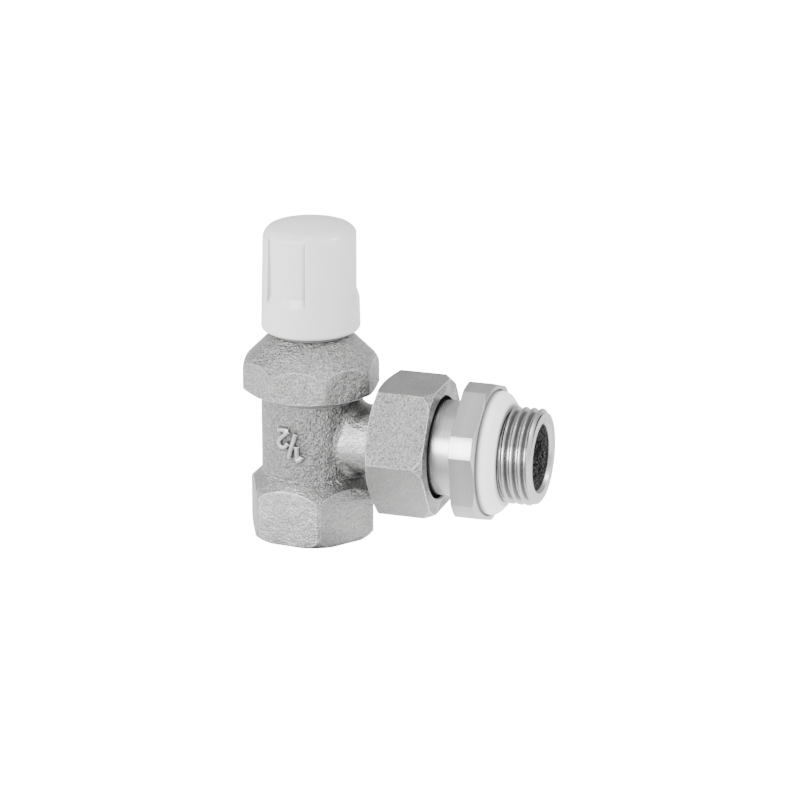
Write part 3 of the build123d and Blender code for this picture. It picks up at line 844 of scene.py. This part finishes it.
class VALVE_OT_headwork(bpy.types.Operator):
    """Bonnet, spindle, rings and gaskets under the cap and in the body"""
    bl_idname = "valve.headwork"
    bl_label = "Headwork"

    def execute(self, context):
        brass, steel = (0.72, 0.56, 0.27), (0.4, 0.4, 0.4)
        black, fibre = (0.025, 0.025, 0.027), (0.2, 0.2, 0.2)
        piece, mesh = copy_of("bonnet", "bonnet_dressed")
        cut_bonnet_thread(mesh, context.scene.valve_threads)
        plated = machined_plating("Plated headwork", context.scene.valve_casting, BODY_AXIS)
        settle(piece, mesh, "bonnet", [plated], [BODY_AXIS])
        dress("shutoff_spindle", turned_metal("Spindle brass", brass, 0.22, 0.005 * MM, BODY_AXIS, 0.1 * MM))
        rubber = moulded_plastic("O-ring rubber", black, 0.6, grain=0.3 * MM, depth=0.006 * MM,
                                 edge_round=0.1 * MM, soft=0.0)
        for ring in ("stem_o_ring_lower", "stem_o_ring_upper", "seat_o_ring", "cap_gasket"):
            dress(ring, rubber)
        dress("bonnet_gasket", moulded_plastic("Fibre gasket", fibre, 0.7, soft=0.0))
        spring = turned_metal("Spring steel", steel, 0.3, 0.004 * MM, BODY_AXIS, 0.1 * MM)
        for ring in ("spindle_snap_ring", "nut_retaining_ring"):
            dress(ring, spring)
        return {"FINISHED"}


# Studio

def soft_light(name, place, target, size, power):
    """A soft rectangular light that looks at a point."""
    lamp = bpy.data.lights.new(name, "AREA")
    lamp.shape = "RECTANGLE"
    lamp.size, lamp.size_y = size
    lamp.energy = power
    light = bpy.data.objects.new(name, lamp)
    light.location = place
    light.rotation_euler = (Vector(target) - Vector(place)).to_track_quat("-Z", "Y").to_euler()
    bpy.context.scene.collection.objects.link(light)


def lay_floor(context, studio):
    """A light table: bright to the camera, softer to the valve, and clear from below."""
    bpy.ops.mesh.primitive_plane_add(size=6.0, location=(0, 0, -0.05 * MM))
    floor = context.object
    floor.name = "floor"
    paper, nodes, shader = new_material("Floor paper", Roughness=0.9, Specular_IOR_Level=0.1,
                                        Emission_Strength=studio.white)
    place = nodes.add("ShaderNodeTexCoord").outputs["Object"]
    fibre = nodes.add("ShaderNodeTexNoise", {"Vector": place, "Scale": 400.0, "Detail": 2.0}).outputs[0]
    around = place_effect(nodes, "Surround", {"Direction": place})["Strength"]
    seen = nodes.add("ShaderNodeLightPath").outputs["Is Camera Ray"]
    dimmed = nodes.maths("MULTIPLY", around, studio.glow / studio.white)
    below = nodes.add("ShaderNodeNewGeometry").outputs["Backfacing"]
    nodes.feed(shader.inputs["Base Color"],
               nodes.mix(fibre, rgba(studio.floor, 0.995), rgba(studio.floor, 1.005)))
    nodes.feed(shader.inputs["Emission Color"], nodes.span(seen, 0.0, 1.0, dimmed, 1.0))
    nodes.feed(shader.inputs["Alpha"], nodes.span(below, 0.0, 1.0, 1.0, 0.0))
    floor.data.materials.append(paper)


def fill_air(context):
    """World light that follows the surround and grows a little towards the zenith."""
    world = bpy.data.worlds.new("Studio air")
    world.use_nodes = True
    nodes = Nodes(world.node_tree)
    direction = nodes.add("ShaderNodeTexCoord").outputs["Generated"]
    height = nodes.add("ShaderNodeSeparateXYZ", {0: direction}).outputs["Z"]
    around = place_effect(nodes, "Surround", {"Direction": direction})["Strength"]
    strength = nodes.maths("MULTIPLY", nodes.span(height, 0.0, 1.0, 0.9, 1.15), around)
    nodes.feed(world.node_tree.nodes["Background"].inputs["Color"], strength)
    context.scene.world = world


def set_camera(context, studio):
    """The camera at the photograph's place."""
    level = cos(studio.elevation)
    back = Vector((sin(studio.azimuth) * level, -cos(studio.azimuth) * level, sin(studio.elevation)))
    lens = bpy.data.cameras.new("camera")
    lens.lens, lens.sensor_width = studio.lens, 36.0
    lens.clip_start, lens.clip_end = 0.05, 20.0
    camera = bpy.data.objects.new("camera", lens)
    camera.location = Vector(studio.target) + back * studio.distance
    camera.rotation_mode = "QUATERNION"
    camera.rotation_quaternion = (-back).to_track_quat("-Z", "Y")
    context.scene.collection.objects.link(camera)
    context.scene.camera = camera


class VALVE_OT_studio(bpy.types.Operator):
    """Floor, lights, backdrop light and the camera"""
    bl_idname = "valve.studio"
    bl_label = "Studio"

    def execute(self, context):
        studio = context.scene.valve_studio
        middle, crown = (0.02, 0.0, 0.03), (0.0, 0.0, 0.07)
        lay_floor(context, studio)
        fill_air(context)
        soft_light("key light", (-0.284, -0.903, 0.337), middle, size=(0.5, 0.5), power=15.0)
        soft_light("left strip", (-0.72, -0.62, 0.15), middle, size=(0.12, 0.40), power=2.0)
        soft_light("crown light", (0.76, 0.08, 0.73), crown, size=(0.22, 0.12), power=5.5)
        soft_light("top light", (-0.46, -0.53, 0.78), crown, size=(0.25, 0.12), power=1.0)
        set_camera(context, studio)
        return {"FINISHED"}


class VALVE_PT_panel(bpy.types.Panel):
    """Sizes, colours and pieces of the valve"""
    bl_idname = "VALVE_PT_panel"
    bl_label = "Radiator valve"
    bl_space_type = "VIEW_3D"
    bl_region_type = "UI"
    bl_category = "Valve"

    def draw(self, context):
        for name in GROUPS:
            box = self.layout.box()
            group = getattr(context.scene, name)
            box.label(text=name.replace("valve_", "").capitalize())
            for prop in group.bl_rna.properties:
                if prop.identifier not in ("rna_type", "name"):
                    box.prop(group, prop.identifier)
        for operator in OPERATORS:
            self.layout.operator(operator.bl_idname)


GROUPS = {
    "valve_casting": CastingFinish,
    "valve_turned": TurnedFinish,
    "valve_plastic": PlasticFinish,
    "valve_threads": ThreadSizes,
    "valve_mark": MarkSizes,
    "valve_studio": StudioSettings,
}
OPERATORS = [VALVE_OT_body, VALVE_OT_size_mark, VALVE_OT_cap, VALVE_OT_union_nut, VALVE_OT_tail,
             VALVE_OT_seal, VALVE_OT_headwork, VALVE_OT_studio]


def register():
    for kind in [*GROUPS.values(), *OPERATORS, VALVE_PT_panel]:
        bpy.utils.register_class(kind)
    for name, kind in GROUPS.items():
        setattr(bpy.types.Scene, name, bpy.props.PointerProperty(type=kind))


def unregister():
    for name in GROUPS:
        delattr(bpy.types.Scene, name)
    for kind in reversed([*GROUPS.values(), *OPERATORS, VALVE_PT_panel]):
        bpy.utils.unregister_class(kind)


def main():
    register()
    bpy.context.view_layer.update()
    for operator in OPERATORS:
        getattr(bpy.ops.valve, operator.bl_idname.split(".")[1])()


if __name__ == "__main__":
    main()
